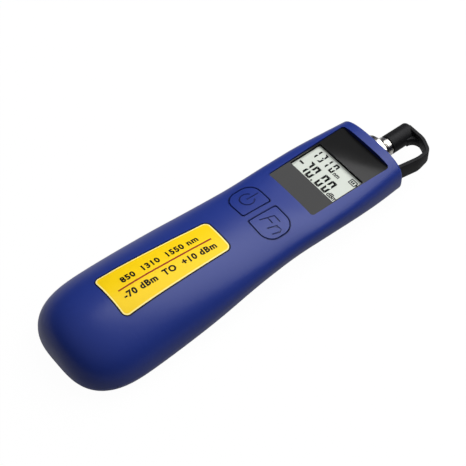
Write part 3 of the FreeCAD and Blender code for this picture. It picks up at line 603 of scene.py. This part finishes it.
# flat band with softened edges along the route, its inner face on the route
def makeStrap():
    points = roundedRoute(strap["route"], strap["bends"], strap["steps"])
    edge, steps, thick = strap["edge"], strap["edgeSteps"], strap["thickness"]
    work = bmesh.new()
    rows = []
    for k, point in enumerate(points):
        ahead = points[min(k + 1, len(points) - 1)] - points[max(k - 1, 0)]
        ahead.normalize()
        side = Vector((-ahead.y, ahead.x, 0))
        share = min(1.0, max(0.0, (point.y - strap["rise"][0]) / (strap["rise"][1] - strap["rise"][0])))
        low = strap["low"] + (strap["lowAtCap"] - strap["low"]) * share * share * (3 - 2 * share)
        row = []
        for u, w, start in ((edge, low + edge, 180), (thick - edge, low + edge, 270),
                            (thick - edge, strap["high"] - edge, 0), (edge, strap["high"] - edge, 90)):
            for j in range(steps + 1):
                angle = math.radians(start + 90 * j / steps)
                out, up = u + edge * math.cos(angle), w + edge * math.sin(angle)
                spot = point + side * out
                row.append(work.verts.new((spot.x * mm, along(spot.y), up * mm)))
        rows.append(row)
    for first, second in zip(rows, rows[1:]):
        for k in range(len(first)):
            j = (k + 1) % len(first)
            work.faces.new((first[k], first[j], second[j], second[k]))
    work.faces.new(rows[0])
    work.faces.new(rows[-1])
    plateFrom(work, webOutline(), strap["lowAtCap"] * mm, strap["webTop"] * mm)
    bmesh.ops.recalc_face_normals(work, faces=work.faces)
    piece = addPiece("capBand", work, "strapBlack")
    for face in piece.data.polygons:
        face.use_smooth = len(face.vertices) == 4 and abs(face.normal.z) < strap["flat"]
    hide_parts("cap_strap")
    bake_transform(piece)


makeStrap()

# in millimetres, y from the tail; a digit is its left edge and width, a plate is left, right, start, end,
# and a word is text, left edge, base line, size, squeeze, weight
displayInk = {
    "upper": {"text": "1310", "base": 150.3, "tall": 5.7, "stroke": 0.88,
              "digits": ((-12.9, 2.1), (-9.2, 2.2), (-5.6, 2.1), (-1.6, 2.5))},
    "lower": {"text": "7000", "base": 140.5, "tall": 7.8, "stroke": 1.12,
              "digits": ((-10.2, 2.9), (-6.3, 3.2), (0.0, 3.2), (4.5, 3.2))},
    "signs": ((-13.7, -11.2, 143.9, 144.8), (-2.2, -1.4, 140.4, 141.3)),
    "battery": ((9.2, 13.2, 152.9, 153.35), (9.2, 13.2, 155.4, 155.85), (9.2, 9.65, 153.35, 155.4),
                (12.75, 13.2, 153.35, 155.4), (13.2, 13.65, 153.8, 154.9), (10.05, 10.85, 153.75, 155.0),
                (11.2, 12.0, 153.75, 155.0)),
    "words": (("nm", 1.5, 150.4, 3.3, 0.9, 0.10), ("dBm", 8.3, 140.6, 3.6, 0.9, 0.10)),
    "segments": {"0": "abcdef", "1": "bc", "3": "abcdg", "7": "abc"}, "gap": 0.12, "low": 0.01, "high": 0.05,
}


# outline of each of the seven bars of a digit
def segmentShapes(left, base, wide, tall, stroke):
    gap = stroke * displayInk["gap"]
    middle, top, right, half = base + tall / 2, base + tall, left + wide, stroke / 2

    def level(y, inward):
        return [(left + gap, y), (right - gap, y), (right - stroke - gap, y + inward),
                (left + stroke + gap, y + inward)]

    def upright(x, inward, low, high):
        return [(x, low + gap), (x, high - gap), (x + inward, high - stroke + gap),
                (x + inward, low + stroke - gap)]

    return {"a": level(top, -stroke), "d": level(base, stroke),
            "b": upright(right, -stroke, middle, top), "c": upright(right, -stroke, base, middle),
            "e": upright(left, stroke, base, middle), "f": upright(left, stroke, middle, top),
            "g": [(left + gap + half, middle), (left + gap + stroke, middle + half),
                  (right - gap - stroke, middle + half), (right - gap - half, middle),
                  (right - gap - stroke, middle - half), (left + gap + stroke, middle - half)]}


letterSteps = 3     # points along each curve of a letter


# flat mesh of a short text in millimetres, its first corner at the origin
def textMesh(text, size, weight=0.0, spacing=1.0):
    curve = bpy.data.curves.new("text", "FONT")
    curve.body = text
    curve.size = size
    curve.offset = weight
    curve.space_character = spacing
    curve.resolution_u = letterSteps
    holder = bpy.data.objects.new("text", curve)
    bpy.context.collection.objects.link(holder)
    bpy.context.view_layer.update()
    mesh = bpy.data.meshes.new_from_object(holder.evaluated_get(bpy.context.evaluated_depsgraph_get()))
    bpy.data.objects.remove(holder)
    return mesh


# digits, units and battery sign, as thin dark plates just above the display
def makeDisplayInk():
    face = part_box("lcd_panel")[1][2]
    low, high = face + displayInk["low"] * mm, face + displayInk["high"] * mm
    work = bmesh.new()
    for row in (displayInk["upper"], displayInk["lower"]):
        for sign, (left, wide) in zip(row["text"], row["digits"]):
            bars = segmentShapes(left, row["base"], wide, row["tall"], row["stroke"])
            for bar in displayInk["segments"][sign]:
                plateFrom(work, bars[bar], low, high)
    for left, right, start, end in displayInk["signs"] + displayInk["battery"]:
        plateFrom(work, [(left, start), (right, start), (right, end), (left, end)], low, high)
    for text, left, base, size, squeeze, weight in displayInk["words"]:
        letters = textMesh(text, size, weight)
        for vertex in letters.vertices:
            vertex.co = Vector(((left + vertex.co.x * squeeze) * mm, along(base + vertex.co.y), high))
        work.from_mesh(letters)
    piece = addPiece("displayInk", work, "inkAndShadeBlack")
    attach(piece, "housing")


makeDisplayInk()

# turned ridges behind the cap: rows of (first, pitch, count, radius, ridge radius), places from the tail
ridges = {"rows": ((183.78, 0.62, 3, 4.60, 0.22), (185.55, 0.45, 2, 3.92, 0.16)), "height": 9.6, "around": 96,
          "section": 10}


# ridges repeated along the port's axis by a node tree with named inputs
def makeRidgeTree():
    tree = bpy.data.node_groups.new("ridgeRows", "GeometryNodeTree")
    face = tree.interface
    face.new_socket(name="Geometry", in_out="INPUT", socket_type="NodeSocketGeometry")
    for label, kind in (("Count", "Int"), ("Around", "Int"), ("Section", "Int"), ("Radius", "Float"),
                        ("Ridge", "Float"), ("Pitch", "Float"), ("Start", "Vector"), ("Finish", "Material")):
        face.new_socket(name=label, in_out="INPUT", socket_type="NodeSocket" + kind)
    face.new_socket(name="Geometry", in_out="OUTPUT", socket_type="NodeSocketGeometry")
    given, result = tree.nodes.new("NodeGroupInput"), tree.nodes.new("NodeGroupOutput")
    loop, profile = (tree.nodes.new("GeometryNodeCurvePrimitiveCircle") for k in range(2))
    sweep = tree.nodes.new("GeometryNodeCurveToMesh")
    turn = tree.nodes.new("GeometryNodeTransform")
    turn.inputs["Rotation"].default_value = (math.pi / 2, 0, 0)
    step = tree.nodes.new("ShaderNodeCombineXYZ")
    line = tree.nodes.new("GeometryNodeMeshLine")
    place = tree.nodes.new("GeometryNodeInstanceOnPoints")
    real = tree.nodes.new("GeometryNodeRealizeInstances")
    coat = tree.nodes.new("GeometryNodeSetMaterial")
    link = tree.links.new
    link(given.outputs["Around"], loop.inputs["Resolution"])
    link(given.outputs["Radius"], loop.inputs["Radius"])
    link(given.outputs["Section"], profile.inputs["Resolution"])
    link(given.outputs["Ridge"], profile.inputs["Radius"])
    link(loop.outputs["Curve"], sweep.inputs["Curve"])
    link(profile.outputs["Curve"], sweep.inputs["Profile Curve"])
    link(sweep.outputs["Mesh"], turn.inputs["Geometry"])
    link(given.outputs["Pitch"], step.inputs["Y"])
    link(given.outputs["Count"], line.inputs["Count"])
    link(given.outputs["Start"], line.inputs["Start Location"])
    link(step.outputs["Vector"], line.inputs["Offset"])
    link(line.outputs["Mesh"], place.inputs["Points"])
    link(turn.outputs["Geometry"], place.inputs["Instance"])
    link(place.outputs["Instances"], real.inputs["Geometry"])
    link(real.outputs["Geometry"], coat.inputs["Geometry"])
    link(given.outputs["Finish"], coat.inputs["Material"])
    link(coat.outputs["Geometry"], result.inputs["Geometry"])
    return tree


def makeRidges():
    tree = makeRidgeTree()
    sockets = {item.name: item.identifier for item in tree.interface.items_tree
               if item.item_type == "SOCKET" and item.in_out == "INPUT"}
    work = bmesh.new()
    for first, pitch, count, radius, ridge in ridges["rows"]:
        holder = bpy.data.objects.new("ridgeHolder", bpy.data.meshes.new("ridgeHolder"))
        bpy.context.collection.objects.link(holder)
        rows = holder.modifiers.new("rows", "NODES")
        rows.node_group = tree
        start = (0, along(first), ridges["height"] * mm)
        for label, value in (("Count", count), ("Around", ridges["around"]), ("Section", ridges["section"]),
                             ("Radius", radius * mm), ("Ridge", ridge * mm), ("Pitch", pitch * mm),
                             ("Start", start), ("Finish", finishes["portNickel"])):
            rows[sockets[label]] = value
        bpy.context.view_layer.update()
        made = bpy.data.meshes.new_from_object(holder.evaluated_get(bpy.context.evaluated_depsgraph_get()))
        holder.modifiers.remove(rows)
        bpy.data.objects.remove(holder)
        work.from_mesh(made)
    bmesh.ops.recalc_face_normals(work, faces=work.faces)
    piece = addPiece("portRidges", work, "portNickel")
    for face in piece.data.polygons:
        face.use_smooth = True
    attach(piece, "housing")


makeRidges()

# rows of plain figures on the label: text, base line x, its two ends along the length, height of the signs
labelPrint = {"rows": (("850  1310  1550 nm", -2.1, (37.6, 77.6), 3.0),
                       ("-70 dBm  TO  +10 dBm", 5.2, (34.0, 82.0), 3.0)),
              "weight": 0.14, "spacing": 1.16, "lift": 0.03, "longest": 0.7, "cuts": 3, "weld": 0.0001}


# closely cut flat letters, laid on the label from above
def makeLabelPrint():
    surface = surfaceOf("front_label")
    work = bmesh.new()
    for text, base, (start, end), tall in labelPrint["rows"]:
        letters = textMesh(text, 1.0, labelPrint["weight"] / tall, labelPrint["spacing"])
        wide = max(vertex.co.x for vertex in letters.vertices)
        high = max(vertex.co.y for vertex in letters.vertices)
        for vertex in letters.vertices:
            forward = along(start + vertex.co.x / wide * (end - start))
            vertex.co = Vector(((base - vertex.co.y / high * tall) * mm, forward, 0))
        work.from_mesh(letters)
    bmesh.ops.remove_doubles(work, verts=work.verts, dist=labelPrint["weld"] * mm)
    for k in range(labelPrint["cuts"]):
        long = [edge for edge in work.edges if edge.calc_length() > labelPrint["longest"] * mm]
        bmesh.ops.subdivide_edges(work, edges=long, cuts=1)
        bmesh.ops.triangulate(work, faces=work.faces)
    for vertex in work.verts:
        vertex.co.z = dropOnto(surface, vertex.co.x, vertex.co.y).z + labelPrint["lift"] * mm
    faceUp(work)
    piece = addPiece("labelInk", work, "inkAndShadeBlack")
    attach(piece, "housing")


makeLabelPrint()

# painted shade: dark lines at the bottom of the signs engraved in the keys, where shade falls in the
# engraving; lines in millimetres from the middle of a key
keySigns = {"middle": (8.625, 109.4), "ring": 3.4, "gap": 32, "ringSteps": 24, "half": 0.42, "step": 0.6,
            "reach": 0.2, "lift": 0.04,
            "power_key": (((0, 0), (0, 6.2)),),
            "function_key": (((-4.5, -3.2), (-2.7, 3.6), (1.0, 3.6)), ((-3.6, 0.4), (-0.2, 0.4)),
                             ((0.9, -3.2), (2.1, 1.3)),
                             ((1.8, 0.2), (3.2, 1.3), (4.6, 1.3), (5.2, 0.3), (4.3, -3.2)))}


# open ring of the power sign, its gap at the top
def ringLine():
    gap, steps, ring = keySigns["gap"], keySigns["ringSteps"], keySigns["ring"]
    turns = [math.radians(90 + gap + k * (360 - 2 * gap) / steps) for k in range(steps + 1)]
    return [(ring * math.cos(turn), ring * math.sin(turn)) for turn in turns]


# lowest place of the surface near a spot, so a line lies at the bottom of its engraving
def bottomNear(surface, x, y):
    shifts = (-keySigns["reach"] * mm, 0, keySigns["reach"] * mm)
    return min(dropOnto(surface, x + dx, y + dy).z for dx in shifts for dy in shifts)


# painted shade: dark lines laid at the bottom of a key's engraved sign
def makeKeySignShade(name, side):
    lines = [list(line) for line in keySigns[name]]
    if name == "power_key":
        lines.append(ringLine())
    surface = surfaceOf(name)
    work = bmesh.new()
    for line in lines:
        for (ax, ay), (bx, by) in zip(line, line[1:]):
            length = math.hypot(bx - ax, by - ay)
            count = max(1, round(length / keySigns["step"]))
            out = ((ay - by) / length * keySigns["half"], (bx - ax) / length * keySigns["half"])
            rows = []
            for k in range(count + 1):
                spot = (ax + (bx - ax) * k / count, ay + (by - ay) * k / count)
                rows.append([])
                for way in (-1, 1):
                    x = (side * keySigns["middle"][0] + spot[0] + out[0] * way) * mm
                    y = along(keySigns["middle"][1] + spot[1] + out[1] * way)
                    rows[-1].append(work.verts.new((x, y, bottomNear(surface, x, y) + keySigns["lift"] * mm)))
            for first, second in zip(rows, rows[1:]):
                work.faces.new((first[0], first[1], second[1], second[0]))
    faceUp(work)
    piece = addPiece(name + "SignShade", work, "shadeBlue")
    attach(piece, name)


makeKeySignShade("power_key", -1)
makeKeySignShade("function_key", 1)

# painted shade: dark lines on the housing beside the gap round the label and the keys, where the gaps' shadow
# falls; in millimetres
labelGapShade = {"members": ("front_label",), "gap": 0.13, "width": 0.42, "finish": "inkAndShadeBlack"}
keyGapShade = {"members": ("power_key", "function_key"), "gap": 0.52, "width": 0.26, "finish": "shadeBlue"}
gapShadeSpacing = {"lift": 0.03, "longest": 0.8, "step": 0.02, "shortest": 0.03}


# outline of what a node shows above the surface, anticlockwise, in short steps
def outlineOf(name, surface):
    points = []
    for vertex in nodes[name].data.vertices:
        over = dropOnto(surface, vertex.co.x, vertex.co.y)
        if over is None or over.z < vertex.co.z:
            points.append((vertex.co.x, vertex.co.y))
    corners = [Vector(points[k]) for k in convex_hull_2d(points)]
    if sum(a.x * b.y - b.x * a.y for a, b in zip(corners, corners[1:] + corners[:1])) < 0:
        corners.reverse()
    outline = []
    for corner, after in zip(corners, corners[1:] + corners[:1]):
        count = max(1, math.ceil((after - corner).length / (gapShadeSpacing["longest"] * mm)))
        outline += [corner.lerp(after, k / count) for k in range(count)]
    return [p for p, q in zip(outline, outline[1:] + outline[:1]) if (q - p).length > gapShadeSpacing["shortest"] * mm]


# painted shade: a dark band on the housing just outside each gap
def makeGapShade(name, values):
    surface = surfaceOf("front_shell")
    work = bmesh.new()
    for member in values["members"]:
        outline = outlineOf(member, surface)
        pairs = []
        for k, point in enumerate(outline):
            ahead = (outline[(k + 1) % len(outline)] - outline[k - 1]).normalized()
            out = Vector((ahead.y, -ahead.x))
            near = values["gap"] * mm
            while dropOnto(surface, *(point + out * near)) is None:     # wider gap at a corner
                near += gapShadeSpacing["step"] * mm
            pairs.append([])
            for spot in (point + out * near, point + out * (near + values["width"] * mm)):
                pairs[-1].append(work.verts.new((*spot, dropOnto(surface, *spot).z + gapShadeSpacing["lift"] * mm)))
        for first, second in zip(pairs, pairs[1:] + pairs[:1]):
            work.faces.new((first[0], first[1], second[1], second[0]))
    faceUp(work)
    piece = addPiece(name, work, values["finish"])
    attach(piece, "housing")


makeGapShade("labelGapShade", labelGapShade)
makeGapShade("keyGapShade", keyGapShade)
